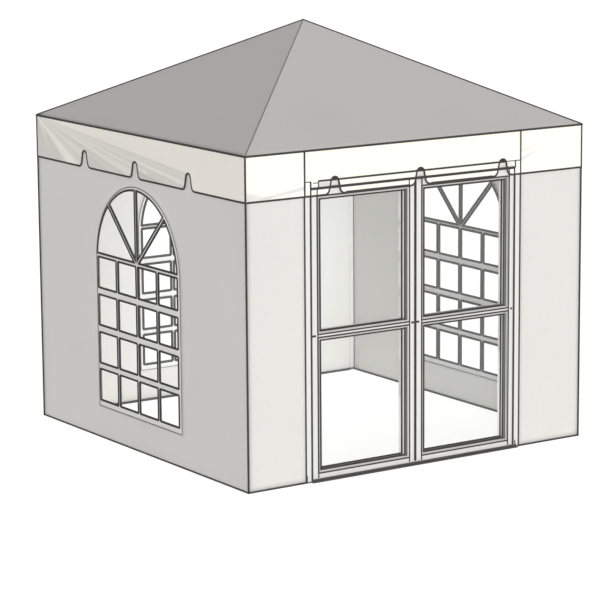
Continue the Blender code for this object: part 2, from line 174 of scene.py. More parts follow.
def carried(path, profile, normal=OUT, closed=False):
    """A profile carried along a path that lies in one plane.

    Each point is the path's point, plus the profile's first value across the path in that plane, plus its
    second value along the plane's normal. At a corner the first value is divided by the cosine of half the
    turn, which mitres it. An open path gets a flat cap at each end.
    """
    path = np.asarray(path, float)
    ahead = np.roll(path, -1, 0) - path
    behind = path - np.roll(path, 1, 0)
    if not closed:
        ahead[-1] = behind[-1]
        behind[0] = ahead[0]
    ahead = unit(ahead)
    tangent = unit(ahead + unit(behind))
    across = np.cross(normal, tangent) / np.maximum(0.4, (tangent * ahead).sum(1))[:, None]
    raised = profile[None, :, 1:] * np.asarray(normal)
    grid = path[:, None] + profile[None, :, :1] * across[:, None] + raised
    points, faces = on_grid(grid, closed, True, flip=True)
    loop = np.vstack([path, path[:1]]) if closed else path
    steps = np.linalg.norm(np.diff(loop, axis=0), axis=1)
    along = np.concatenate([[0], np.cumsum(steps)])
    round_it = np.linspace(0, 1, len(profile) + 1)
    flat = np.stack(np.meshgrid(along, round_it, indexing="ij"), -1)
    corners = (flat[:-1, :-1], flat[:-1, 1:], flat[1:, 1:], flat[1:, :-1])
    uv = np.stack(corners, 2).reshape(-1, 2)
    if not closed:
        size = len(profile)
        last = (len(path) - 1) * size
        faces += [list(range(size))[::-1], list(range(last, last + size))]
        uv = np.vstack([uv, np.zeros((2 * size, 2))])
    return points, faces, uv


def arc(radius, start, end, steps, endpoint=True):
    """Points of a circle round the origin, from the start angle to the end angle."""
    turn = np.linspace(start, end, steps, endpoint=endpoint)
    return radius * np.column_stack([np.cos(turn), np.sin(turn)])


def round_profile(radius, sides=10):
    """A circle."""
    return arc(radius, 0, 2 * np.pi, sides, endpoint=False)


def tape_profile(half_width, half_thick, sides=12):
    """A flat band with soft edges: a circle whose sine and cosine are raised to a low power."""
    turn = np.linspace(0, 2 * np.pi, sides, endpoint=False) + np.pi / sides
    cosine, sine = np.cos(turn), np.sin(turn)
    across = half_width * np.sign(cosine) * np.abs(cosine) ** 0.35
    thick = half_thick * np.sign(sine) * np.abs(sine) ** 0.5
    return np.stack([across, thick], 1)


def strip(side, points, out, profile, closed=False):
    """A profile carried along the (along, up) points of a side's drawing, at the distance out."""
    points = np.asarray(points, float)
    path = np.stack([points[:, 0], np.full(len(points), -out), points[:, 1]], 1)
    return side_shape(carried(path, profile, closed=closed), side)


def upright(side, place, foot, top, out, profile):
    """A strip that stands straight up."""
    return strip(side, [(place, foot), (place, top)], out, profile)


def level(side, left, right, height, out, profile):
    """A strip that runs level."""
    return strip(side, [(left, height), (right, height)], out, profile)


def bands(uprights, levels, out, half_thick):
    """Flat bands on the door side.

    An upright one is its place, foot, top and half width. A level one is its left and right end, height and
    half width.
    """
    shapes = [upright("front", *ends, out, tape_profile(half, half_thick)) for *ends, half in uprights]
    return shapes + [level("front", *ends, out, tape_profile(half, half_thick)) for *ends, half in levels]


def rectangle(left, right, foot, top):
    """A rectangle's corners, from its lower left one."""
    return [(left, foot), (right, foot), (right, top), (left, top)]


def rounded(corners, radius, steps=5):
    """A closed outline whose corners are quarter turns: each blends its two sides by squared shares."""
    corners = np.asarray(corners, float)
    before = radius * unit(np.roll(corners, 1, 0) - corners)
    after = radius * unit(np.roll(corners, -1, 0) - corners)
    share = np.linspace(0, 1, steps)[None, :, None]
    path = corners[:, None] + (1 - share) ** 2 * before[:, None] + share**2 * after[:, None]
    return path.reshape(-1, 2)


def run(start, end, steps):
    """Points in even steps from the start, up to but not on the end."""
    share = np.linspace(0, 1, steps, endpoint=False)[:, None]
    return np.asarray(start, float) + share * np.subtract(end, start)


def piece(name, shapes, finish, body="tent", smooth=40):
    """One object from one or more shapes, riding on a body."""
    points, faces, uvs = [], [], []
    count = 0
    for shape in shapes:
        points.append(shape[0])
        faces += [[count + v for v in face] for face in shape[1]]
        count += len(shape[0])
        corners = sum(len(face) for face in shape[1])
        uvs.append(shape[2] if len(shape) > 2 else np.zeros((corners, 2)))
    mesh = bpy.data.meshes.new(name)
    mesh.from_pydata(np.vstack(points).tolist(), [], faces)
    layer = mesh.uv_layers.new(name="along")
    layer.data.foreach_set("uv", np.vstack(uvs).astype(np.float32).ravel())
    mesh.shade_smooth()
    mesh.set_sharp_from_angle(angle=math.radians(smooth))
    mesh.materials.append(FINISH[finish])
    obj = placed(name, mesh)
    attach(obj, body)
    return obj


def placed(name, data):
    """A new object in the scene, at the origin."""
    obj = bpy.data.objects.new(name, data)
    bpy.context.scene.collection.objects.link(obj)
    return obj


def thickened(obj, thickness=CLOTH):
    """Gives a cloth surface its thickness, inwards from its outer face."""
    solid = obj.modifiers.new("thickness", "SOLIDIFY")
    solid.thickness = thickness
    solid.offset = -1
    return obj


# Node helpers


class Graph:
    """Adds nodes to one tree. An input's value is a number, a colour or another node's output."""

    def __init__(self, tree):
        self.tree = tree

    def add(self, kind, settings=None, **inputs):
        made = self.tree.nodes.new(kind)
        for name, value in (settings or {}).items():
            setattr(made, name, value)
        return self.give(made, **inputs)

    def give(self, node, **inputs):
        """Feeds a node's inputs, each by its name or, as in i6, by its number."""
        for name, value in inputs.items():
            numbered = name[0] == "i" and name[1:].isdigit()
            self.feed(node.inputs[int(name[1:]) if numbered else name.replace("_", " ")], value)
        return node

    def feed(self, socket, value):
        if isinstance(value, bpy.types.NodeSocket):
            self.tree.links.new(value, socket)
        else:
            socket.default_value = value

    def maths(self, operation, first, second=0.0):
        return self.add("ShaderNodeMath", {"operation": operation}, i0=first, i1=second).outputs[0]

    def times(self, first, second):
        return self.maths("MULTIPLY", first, second)

    def blend(self, share, first, second, mode="MIX"):
        settings = {"data_type": "RGBA", "blend_type": mode}
        return self.add("ShaderNodeMix", settings, Factor=share, i6=first, i7=second).outputs[2]

    def shaded(self, colour, shade):
        """A colour times a grey shade."""
        grey = self.add("ShaderNodeCombineColor", Red=shade, Green=shade, Blue=shade).outputs[0]
        return self.blend(1.0, colour, grey, "MULTIPLY")

    def noise(self, place, scale, detail=2.0, roughness=0.5):
        inputs = {"Vector": place, "Scale": scale, "Detail": detail, "Roughness": roughness}
        return self.add("ShaderNodeTexNoise", **inputs).outputs["Fac"]

    def stretched(self, place, scale):
        return self.add("ShaderNodeMapping", Vector=place, Scale=scale).outputs[0]

    def parts(self, vector):
        return self.add("ShaderNodeSeparateXYZ", Vector=vector).outputs

    def between(self, value, low, high, to_low=0.0, to_high=1.0):
        ends = {"From_Min": low, "From_Max": high, "To_Min": to_low, "To_Max": to_high}
        return self.add("ShaderNodeMapRange", Value=value, **ends).outputs[0]

    def group(self, name, **inputs):
        return self.add("ShaderNodeGroup", {"node_tree": GROUPS[name]}, **inputs).outputs

    def bumped(self, shader, height, depth):
        """Feeds a height into the shader's normal, through a bump of that real depth."""
        bump = self.add("ShaderNodeBump", Height=height, Distance=depth, Strength=1.0)
        self.feed(shader.inputs["Normal"], bump.outputs[0])


# What a cloth's or a paint's group gives to its shader
SURFACE = {"Colour": "colour", "Roughness": "value", "Height": "value"}


def new_group(name, inputs, outputs):
    """A node group with these sockets: its tree, its graph, its inputs and its output node."""
    tree = bpy.data.node_groups.new(name, "ShaderNodeTree")
    kinds = {"vector": "NodeSocketVector", "value": "NodeSocketFloat", "colour": "NodeSocketColor"}
    for way, sockets in (("INPUT", inputs), ("OUTPUT", outputs)):
        for socket, kind in sockets.items():
            tree.interface.new_socket(socket, in_out=way, socket_type=kinds[kind])
    given = tree.nodes.new("NodeGroupInput").outputs
    return tree, Graph(tree), given, tree.nodes.new("NodeGroupOutput")


def cloth_group():
    """Coated polyester: a plain weave, soft mottling, and splashes near the ground.

    The weave's height is the sine of the way along times the sine of the way up.
    """
    sockets = {"Place": "vector", "Cloth": "colour", "Threads": "value", "Soil": "value"}
    tree, graph, given, wanted = new_group("coated_cloth", sockets, SURFACE)
    here = given["Place"]
    place = graph.parts(here)
    along = graph.maths("ADD", place[0], place[1])
    warp = graph.maths("SINE", graph.times(along, given["Threads"]))
    weft = graph.maths("SINE", graph.times(place[2], given["Threads"]))
    weave = graph.times(graph.times(warp, weft), 0.5)
    broad = graph.noise(here, 1.3, 3)
    fine = graph.noise(here, 45.0, 3)
    mottling = graph.between(broad, 0.3, 0.7, 0.982, 1.012)
    shade = graph.maths("ADD", mottling, graph.between(fine, 0.3, 0.7, -0.008, 0.008))
    rain = graph.noise(graph.stretched(here, (14, 14, 0.8)), 1.0, 3)
    low = graph.between(place[2], 0.16, 0.0)
    splash = graph.times(low, graph.between(rain, 0.42, 0.62))
    clean = graph.shaded(given["Cloth"], shade)
    colour = graph.blend(graph.times(splash, given["Soil"]), clean, (0.36, 0.33, 0.28, 1))
    rough = graph.between(fine, 0.3, 0.7, 0.50, 0.62)
    height = graph.maths("ADD", weave, graph.times(broad, 3.0))
    graph.give(wanted, Colour=colour, Roughness=rough, Height=height)
    return tree


def paint_group():
    """Powder coat: a fine orange peel, faint clouding, and rubbed marks near the ground."""
    sockets = {"Place": "vector", "Paint": "colour", "Wear": "value"}
    tree, graph, given, wanted = new_group("powder_coat", sockets, SURFACE)
    here = given["Place"]
    cloud = graph.noise(here, 5.0, 3)
    clean = graph.shaded(given["Paint"], graph.between(cloud, 0.3, 0.7, 0.985, 1.01))
    low = graph.between(graph.parts(here)[2], 0.22, 0.0)
    scratch = graph.noise(graph.stretched(here, (60, 60, 9)), 1.0, 4, 0.6)
    rubbed = graph.times(graph.times(low, graph.between(scratch, 0.58, 0.68)), given["Wear"])
    colour = graph.blend(rubbed, clean, (0.42, 0.41, 0.39, 1))
    rough = graph.maths("ADD", graph.between(cloud, 0.3, 0.7, 0.33, 0.42), graph.times(rubbed, 0.2))
    graph.give(wanted, Colour=colour, Roughness=rough, Height=graph.noise(here, 420.0, 2))
    return tree


def stitch_group():
    """A row of stitches on a strip: short dashes by the length along it, at one place round its profile."""
    sockets = {"Strip": "vector", "Pitch": "value", "Row": "value"}
    tree, graph, given, wanted = new_group("stitches", sockets, {"Thread": "value"})
    along = graph.parts(given["Strip"])
    step = graph.maths("FRACT", graph.maths("DIVIDE", along[0], given["Pitch"]))
    dash = graph.between(graph.maths("ABSOLUTE", graph.maths("SUBTRACT", step, 0.5)), 0.36, 0.30)
    offset = graph.maths("ABSOLUTE", graph.maths("SUBTRACT", along[1], given["Row"]))
    graph.give(wanted, Thread=graph.times(dash, graph.between(offset, 0.045, 0.02)))
    return tree


def new_material(name):
    """A material with its Principled shader, the piece's own place and its strip UV."""
    made = bpy.data.materials.new(name)
    made.use_nodes = True
    graph = Graph(made.node_tree)
    coordinates = graph.add("ShaderNodeTexCoord")
    return made, graph, made.node_tree.nodes["Principled BSDF"], coordinates.outputs


def tone(colour, share=1.0):
    """A colour, darkened or lightened by a share, with full alpha."""
    return (*[c * share for c in colour], 1)


def cloth_finish(name, colour, threads=5200.0, soil=0.0, fold_shade_colour=None):
    """Coated cloth. Where the piece has a fold shade attribute, a darker colour is blended in by it: painted
    shade of its folds.
    """
    made, graph, shader, place = new_material(name)
    cloth = graph.group("cloth", Place=place["Object"], Cloth=tone(colour), Threads=threads, Soil=soil)
    colour_out = cloth["Colour"]
    if fold_shade_colour:
        # painted shade: the fold shade attribute darkens the cloth where its folds would be in shade
        crease_shade = graph.add("ShaderNodeAttribute", {"attribute_name": "crease_shade"}).outputs["Fac"]
        colour_out = graph.blend(crease_shade, colour_out, tone(fold_shade_colour))
    graph.give(shader, Base_Color=colour_out, Roughness=cloth["Roughness"], Specular_IOR_Level=0.25)
    graph.bumped(shader, cloth["Height"], 0.00022)
    return made


def binding_finish(name, colour, stitched=True):
    """Dark woven binding tape, with ribs across it and a row of stitches."""
    made, graph, shader, place = new_material(name)
    ribs = graph.maths("SINE", graph.times(graph.parts(place["UV"])[0], 3900.0))
    cloud = graph.noise(place["Object"], 7.0, 3)
    base = graph.blend(graph.between(cloud, 0.3, 0.75), tone(colour, 0.9), tone(colour, 1.2))
    height = graph.times(ribs, 0.3)
    if stitched:
        thread = graph.group("stitches", Strip=place["UV"], Pitch=0.0042, Row=0.75)["Thread"]
        base = graph.blend(thread, base, tone(colour, 2.4))
        height = graph.maths("ADD", height, thread)
    rough = graph.between(cloud, 0.3, 0.7, 0.70, 0.85)
    graph.give(shader, Base_Color=base, Roughness=rough, Specular_IOR_Level=0.2)
    graph.bumped(shader, height, 0.0003)
    return made


def paint_finish(name, colour):
    """Powder-coated aluminium, a little worn."""
    made, graph, shader, place = new_material(name)
    paint = graph.group("paint", Place=place["Object"], Paint=tone(colour), Wear=0.2)
    graph.give(shader, Base_Color=paint["Colour"], Roughness=paint["Roughness"], Specular_IOR_Level=0.3)
    graph.bumped(shader, paint["Height"], 0.00006)
    return made


def metal_finish(name, colour, polished=False):
    """Aluminium with fine lines drawn along its length: satin anodised, or polished."""
    made, graph, shader, place = new_material(name)
    drawn = graph.noise(graph.stretched(place["Object"], (700, 700, 6)), 1.0, 3)
    cloud = graph.noise(place["Object"], 3.0, 2)
    base = graph.blend(cloud, tone(colour, 0.95), tone(colour, 1.04))
    rough = graph.between(drawn, 0.3, 0.7, *((0.03, 0.06) if polished else (0.34, 0.46)))
    graph.give(shader, Base_Color=base, Roughness=rough, Metallic=1.0 if polished else 0.75)
    graph.bumped(shader, drawn, 0.00001 if polished else 0.00004)
    return made


def rubber_finish(name, colour, inner=None):
    """Matt moulded rubber. A darker second colour, where given, takes over towards the hollow: painted shade
    in the recess.
    """
    made, graph, shader, place = new_material(name)
    grain = graph.noise(place["Object"], 900.0, 2)
    bloom = graph.noise(place["Object"], 6.0, 3)
    base = graph.blend(bloom, tone(colour, 0.85), tone(colour, 1.15))
    # painted shade: the profile is painted darker towards its deep hollow
    if inner:
        round_it = graph.parts(place["UV"])[1]
        base = graph.blend(graph.between(round_it, 0.10, 0.80), base, tone(inner))
    rough = graph.between(bloom, 0.3, 0.7, 0.62, 0.78)
    graph.give(shader, Base_Color=base, Roughness=rough, Specular_IOR_Level=0.25)
    graph.bumped(shader, grain, 0.00008)
    return made


def clear_finish(name, colour, alpha, ripple_scale, ripple_depth, rough):
    """A clear pane. Its haze is a faint change in roughness, and its ripples are in its normal."""
    made, graph, shader, place = new_material(name)
    smears = graph.noise(graph.stretched(place["Object"], (3, 3, 1.2)), 2.0, 4, 0.6)
    haze = graph.between(smears, 0.35, 0.75, rough, rough * 2.5)
    graph.give(shader, Base_Color=tone(colour), Roughness=haze, Alpha=alpha, IOR=1.45)
    graph.bumped(shader, graph.noise(place["Object"], ripple_scale, 2), ripple_depth)
    return made


def floor_finish():
    """A plain white studio floor that is lit a little from within."""
    made, graph, shader, place = new_material("studio_floor")
    cloud = graph.noise(place["Object"], 0.6, 2)
    base = graph.blend(cloud, tone([0.93] * 3), tone([0.96] * 3))
    graph.give(shader, Base_Color=base, Roughness=0.9, Specular_IOR_Level=0.0)
    graph.give(shader, Emission_Color=(1, 1, 1, 1), Emission_Strength=FLOOR_GLOW)
    return made


# Cloth pieces


def hem_height(along):
    """The valance's lower edge at each place along it.

    It is level, except near a notch. There it follows the foot's circle, then a straight leaning side, then
    the top's circle, by the distance to the notch's middle.
    """
    distance = np.min([np.abs(along - place) for place in NOTCH_PLACES], axis=0)
    crest_middle = HEM + NOTCH_HEIGHT - NOTCH_TOP_RADIUS
    cosine, sine = math.cos(NOTCH_LEAN), math.sin(NOTCH_LEAN)
    foot_end, foot_rise = NOTCH_FOOT_HALF - NOTCH_FOOT_RADIUS * cosine, HEM + NOTCH_FOOT_RADIUS * (1 - sine)
    crest_end, crest_rise = NOTCH_TOP_RADIUS * cosine, crest_middle + NOTCH_TOP_RADIUS * sine
    inside = np.clip(NOTCH_FOOT_HALF - distance, 0, NOTCH_FOOT_RADIUS)
    foot = HEM + NOTCH_FOOT_RADIUS - np.sqrt(NOTCH_FOOT_RADIUS**2 - inside**2)
    side = np.interp(distance, [crest_end, foot_end], [crest_rise, foot_rise])
    near = np.clip(distance, 0, NOTCH_TOP_RADIUS)
    crest = crest_middle + np.sqrt(NOTCH_TOP_RADIUS**2 - near**2)
    height = np.where(distance < foot_end, side, foot)
    return np.where(distance < crest_end, crest, height)


def hem_places(half_length):
    """Places along the hem: even steps, and closer ones at each notch."""
    even = np.linspace(-half_length, half_length, 201)
    flank = np.linspace(0.0335, 0.088, 14)
    crest = NOTCH_TOP_RADIUS * -np.cos(np.linspace(0.25, np.pi - 0.25, 15))
    near = (np.asarray(NOTCH_PLACES)[:, None] + np.concatenate([-flank[::-1], crest, flank])).ravel()
    away = even[np.min([np.abs(even - p) for p in NOTCH_PLACES], axis=0) > 0.092]
    return np.unique(np.concatenate([away, near]))


# A pulled valance's broad folds: the painted shade at each angle, in degrees, from the upright edge at its
# upper left corner. Their height follows from that shade
BROAD_FOLD_SHADE = (
    (0, 0.62), (52.5, 0.62), (59.5, 0.08), (62.8, 0.08), (65.3, 0.31), (68.3, 0.52), (72.2, 0.27), (74, 0.33),
    (76, 0.55), (77, 0.52), (78.3, 0.25), (80, 0.33), (81.3, 0.30), (82, 0.39), (82.8, 0.32), (84.4, 0.42),
    (85.3, 0.09), (90, 0.06),
)

# Its fold lines, as bands between two rays from the same corner: the two angles and the softness of their
# edges in degrees, where along the side the band starts and ends and how it fades out, its height in
# metres, and how much painted shade it adds; a negative amount is painted light
CREASES_AND_SHADE = (
    (35, 47, 6, -1.60, -1.25, 0.22, 0.0010, -0.34),
    (46, 58, 6, -1.60, -1.31, 0.15, 0.0008, -0.40),
    (64, 74.8, 1.4, -0.72, -0.02, 0.45, -0.0012, 0.33),
    (75.4, 76.2, 0.5, -0.65, -0.05, 0.20, 0.0008, -0.10),
    (76.3, 77.0, 0.5, -0.90, -0.05, 0.20, -0.0008, 0.10),
    (77, 80.4, 0.8, 0.03, 0.70, 0.30, -0.0012, 0.36),
    (79.75, 80.3, 0.45, -0.62, 0.70, 0.10, -0.0008, 0.22),
    (80.4, 81.4, 0.5, 0.16, 0.70, 0.25, -0.0008, 0.27),
    (81.6, 82.2, 0.45, -0.45, 0.74, 0.10, -0.0008, 0.20),
    (82.4, 83.0, 0.4, 0.00, 0.74, 0.10, 0.0006, -0.13),
    (83.3, 83.8, 0.4, -0.25, 0.74, 0.10, -0.0006, 0.13),
    (83.9, 84.2, 0.3, -0.25, 0.74, 0.10, 0.0006, -0.08),
    (84.3, 84.7, 0.35, -0.25, 0.74, 0.10, -0.0006, 0.10),
)

# How strongly each side's valance is pulled: it scales the folds' height and their painted shade. The door
# side's hangs flat.
PULL = {"right": 0.6, "back": 0.8, "left": 1.0}


def smooth_step(value, soft):
    """From 0 to 1 as the value goes from minus to plus half of the soft width, by a cubic."""
    share = np.clip(value / np.maximum(soft, 1e-6) + 0.5, 0, 1)
    return share * share * (3 - 2 * share)


def pulled_folds(along, up):
    """The height and the painted shade of a pulled valance's folds at each point.

    The broad folds change smoothly from one angle of their list to the next, and fade out before the far end.
    Each fold band is a smooth step up at its first ray times a step down at its second. Heights also grow
    with the distance from the corner.
    """
    right, down = along + HALF, EAVE - up
    angle = np.degrees(np.arctan2(right, np.maximum(down, 1e-4)))
    reach = np.minimum(np.hypot(right, down) / 0.5, 1)
    stops, shades = np.array(BROAD_FOLD_SHADE).T
    step = np.clip(np.searchsorted(stops, angle) - 1, 0, len(stops) - 2)
    share = smooth_step(angle - (stops[step] + stops[step + 1]) / 2, stops[step + 1] - stops[step])
    broad = shades[step] + share * (shades[step + 1] - shades[step])
    dark = 0.06 + (broad - 0.06) * smooth_step(0.77 - along, 0.08)
    height = -0.0045 * (dark - 0.3)
    for first, second, soft, start, end, fade, rise, shade in CREASES_AND_SHADE:
        band = smooth_step(angle - first, soft) * smooth_step(second - angle, soft)
        length = smooth_step(along - start - 0.02, 0.04) * smooth_step(end - fade / 2 - along, fade)
        height += rise * band * length
        dark += shade * band * length
    return height * reach, np.clip(dark, 0, 1)


def ridge(across, half_width):
    """A soft ridge: a bell curve of the distance from its middle line."""
    return np.exp(-((across / half_width) ** 2))


def flat_folds(along, up):
    """The height and the painted shade of the door side's valance.

    Its lower left corner gets painted shade under a line that falls to the right, with one soft fold beyond
    it.
    Two more folds run in from the upper right corner and are strongest at the door frame's edge. Their
    darkness is painted shade too, and the cloth sinks in a little where it is painted darkest.
    """
    # painted shade at the lower left corner, under a line that falls to the right
    corner_curl_shade = 0.50 * np.exp(-(along + HALF) / 0.35) * smooth_step(1.760 - 0.26 * along - up, 0.05)
    share = np.clip((along + 1.358) / 0.351, 0, 1)
    crease_shade = ridge(up - 2.091 - 0.045 * share, 0.007 + 0.009 * share)
    crease_shade = 0.50 * crease_shade * smooth_step(along + 1.358, 0.10) * smooth_step(-1.000 - along, 0.01)
    angle = np.degrees(np.arctan2(HALF - along, np.maximum(EAVE - up, 1e-4)))
    away = along - OUTER_LINES[1]
    near_frame = ridge(away, 0.15) * (away > 0)
    rays = (0.36 * ridge(angle - 74.9, 0.8) + 0.50 * ridge(angle - 69.3, 1.1)) * near_frame
    dark = corner_curl_shade + crease_shade + rays
    return -0.0020 * dark, dark


def valance_points(side):
    """The valance's outer face: columns at the hem's places, rows in even shares from the hem to the eave.

    It stands out by the squared sine of a quarter turn from the eave to the hem, plus its folds, and is held
    back at both ends.
    """
    half_length = HALF if side in ("front", "back") else SIDE_VALANCE_END
    columns = hem_places(half_length)
    low = hem_height(columns)[:, None]
    up = low + np.linspace(0, 1, 61)[None, :] * (VALANCE_TOP - low)
    along = np.broadcast_to(columns[:, None], up.shape)
    # The folds' darkness is painted shade, which the cloth takes as its fold shade attribute
    height, dark = flat_folds(along, up) if side == "front" else pulled_folds(along, up)
    pull = PULL.get(side, 1.0)
    swell = 0.0035 * np.sin(np.pi * np.clip((EAVE - up) / (EAVE - HEM), 0, 1) * 0.5) ** 2
    calm = np.clip((half_length - np.abs(along)) / 0.12, 0, 1)
    out = VALANCE_FACE + calm * np.clip(swell + pull * height, 0, 0.009)
    return np.stack([along, -out, up], -1), dark * pull


def build_valance(side):
    """A cloth valance, and the dark binding sewn over its hem."""
    points, dark = valance_points(side)
    finish = "valance_front" if side == "front" else "valance"
    cloth = piece(f"valance_cloth_{side}", [side_shape(on_grid(points), side)], finish)
    # painted shade of the folds, kept on the cloth's points
    layer = cloth.data.attributes.new("crease_shade", "FLOAT", "POINT")
    layer.data.foreach_set("value", dark.astype(np.float32).ravel())
    thickened(cloth)
    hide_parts(f"valance_{side}")
    hem = points[:, 0] + [0, CLOTH / 2, 0]
    binding = side_shape(carried(hem, tape_profile(*HEM_BINDING)), side)
    trim = piece(f"valance_binding_{side}", [binding], "binding")


def roof_points():
    """The roof's outer face, as rings that shrink from the eaves to the peak.

    A ring is a square. Its height falls with its half side, and each side dips by a bump that is nothing at
    the hips, the eaves and the peak.
    """
    steps = 40
    share = np.linspace(-1, 1, steps, endpoint=False)
    edge = np.stack([share, -np.ones(steps), np.zeros(steps)], 1)
    plan = np.vstack([turned(edge, side)[:, :2] for side in SIDES])
    across = np.tile(share, len(SIDES))
    rise = np.linspace(0, 1, 41)[:-1]
    shrink = 1 - rise
    dip = ROOF_SAG * 16 * (rise * (1 - rise)) ** 2
    grid = np.empty((len(plan), len(rise), 3))
    grid[..., :2] = plan[:, None] * (HALF * shrink)[None, :, None]
    grid[..., 2] = PEAK - (PEAK - EAVE) * shrink - (1 - across**2)[:, None] ** 1.2 * dip[None, :]
    return grid


def build_roof():
    """One cloth cover over the whole frame, with dark piping round the eaves and along the hips."""
    grid = roof_points()
    points, faces = on_grid(grid, wrap_first=True)
    count, rings = grid.shape[:2]
    last = np.arange(count) * rings + rings - 1
    faces += np.stack([last, np.roll(last, -1), np.full(count, len(points))], 1).tolist()
    points = np.vstack([points, [[0, 0, PEAK]]])
    cover = thickened(piece("roof_cover", [(points, faces)], "roof", smooth=20))
    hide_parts(*[f"roof_panel_{side}" for side in SIDES])
    corners = np.array([(-1, -1), (1, -1), (1, 1), (-1, 1)])
    square = np.column_stack([corners * (HALF - 0.001), np.full(4, EAVE - 0.003)])
    eave = carried(square, round_profile(EAVE_RADIUS, 12), UP, closed=True)
    eaves = piece("eave_piping", [eave], "binding")
    hips = []
    for (x, y), radius in zip(corners, (NEAR_HIP_RADIUS, HIP_RADIUS, HIP_RADIUS, HIP_RADIUS)):
        low = np.array([x * HALF, y * HALF, EAVE + 0.002])
        high = np.array([0, 0, PEAK + 0.001])
        path = low + np.linspace(0, 1, 24)[:, None] * (high - low)
        normal = unit(np.cross(high - low, [-y, x, 0]))
        hips.append(carried(path, round_profile(radius, 8), normal * np.sign(normal[2])))
    near_hip = piece("hip_piping_front_left", hips[:1], "hip")
    hip = piece("hip_piping", hips[1:], "binding")


def billow(along, up):
    """How far a wall stands out: two slow waves, calm under the valance and at the foot and ends."""
    calm = np.clip((2.02 - up) / 0.4, 0, 1) * np.clip(up / 0.25, 0, 1)
    calm = calm * np.clip((WALL_FACE - np.abs(along)) / 0.15, 0, 1)
    waves = 2 + np.sin(along * 5.1 + up * 0.9) + np.sin(along * 2.3 - up * 2.2 + 1)
    return 0.0005 * waves * calm


SIDE_STEPS, ARCH_STEPS = 24, 64


def window_outline(half, sill):
    """A window's outline from its lower left corner: along the sill, up, round the arch and down."""
    arch = arc(half, 0, np.pi, ARCH_STEPS, endpoint=False) + [0, SPRING]
    foot = run((-half, sill), (half, sill), SIDE_STEPS)
    rise = run((half, sill), (half, SPRING), SIDE_STEPS)
    return np.vstack([foot, rise, arch, run((-half, SPRING), (-half, sill), SIDE_STEPS)])


def wall_outline(half):
    """The wall's own outline, with one point for each point of its window's outline."""
    quarter = ARCH_STEPS // 4
    corners = [(-half, WALL_FOOT), (half, WALL_FOOT), (half, SPRING), (half, WALL_TOP), (-half, WALL_TOP)]
    corners += [(-half, SPRING), (-half, WALL_FOOT)]
    steps = (SIDE_STEPS, SIDE_STEPS, quarter, ARCH_STEPS - 2 * quarter, quarter, SIDE_STEPS)
    return np.vstack([run(*ends) for ends in zip(corners, corners[1:], steps)])


def build_window_wall(side):
    """A cloth wall: a ring of cloth that runs from the window's outline out to the wall's own edges."""
    half = -WALL_END if side == "back" else WALL_FACE
    hole = window_outline(HOLE_HALF, HOLE_SILL)
    share = np.linspace(0, 1, 17)[None, :, None]
    flat = hole[:, None] + share * (wall_outline(half) - hole)[:, None]
    along, up = flat[..., 0], flat[..., 1]
    calm = np.clip(share[..., 0] / 0.3, 0, 1)
    grid = np.stack([along, -(WALL_FACE + calm * billow(along, up)), up], -1)
    shape = side_shape(on_grid(grid, wrap_first=True, flip=True), side)
    cloth = thickened(piece(f"wall_cloth_{side}", [shape], "wall"))
    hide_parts(f"wall_{side}")
    rings = [
        strip(side, hole, WALL_FACE, round_profile(HOLE_RADIUS, 8), closed=True),
        strip(side, hole, FILM_BACK - 0.0006, round_profile(HOLE_BACK_RADIUS, 8), closed=True),
    ]
    piping = piece(f"window_piping_{side}", rings, "hip")


def build_film(side):
    """The clear film: a sheet whose columns run from under the sill up to the arch."""
    half = HOLE_HALF + FILM_LAP - 0.001
    foot = HOLE_SILL - FILM_LAP + 0.001
    along = half * np.sin(np.linspace(-np.pi / 2, np.pi / 2, 61))[:, None]
    top = SPRING + np.sqrt(np.maximum(half**2 - along**2, 0))
    up = foot + np.linspace(0, 1, 61)[None, :] * (top - foot)
    along = np.broadcast_to(along, up.shape)
    shape = side_shape(on_grid(np.stack([along, np.full(up.shape, -FILM_FACE), up], -1)), side)
    film = thickened(piece(f"window_sheet_{side}", [shape], "film"), FILM_THICK)
    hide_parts(f"window_film_{side}")


def direction(degrees):
    """The unit step at an angle of a side's drawing."""
    return np.array([math.cos(math.radians(degrees)), math.sin(math.radians(degrees))])


def fan_pane(start, end):
    """A pane of the fan between two spokes: a corner near the fan's foot, two straight sides and the rim."""
    gap = SPOKE_HALF / math.sin(math.radians((end - start) / 2))
    corner = np.array([0, FAN_FOOT]) + gap * direction((start + end) / 2)
    ends = []
    for angle in (start, end):
        way = direction(angle)
        offset = corner - [0, SPRING]
        along = -offset @ way
        reach = along + math.sqrt(along**2 - offset @ offset + FAN_RADIUS**2)
        tip = corner + reach * way
        ends.append(math.atan2(tip[1] - SPRING, tip[0]))
    rim = arc(FAN_RADIUS, *ends, 18) + [0, SPRING]
    side = np.linspace(0, 1, 12)[1:-1, None]
    return np.vstack([[corner], corner + side * (rim[0] - corner), rim, rim[-1] + side * (corner - rim[-1])])


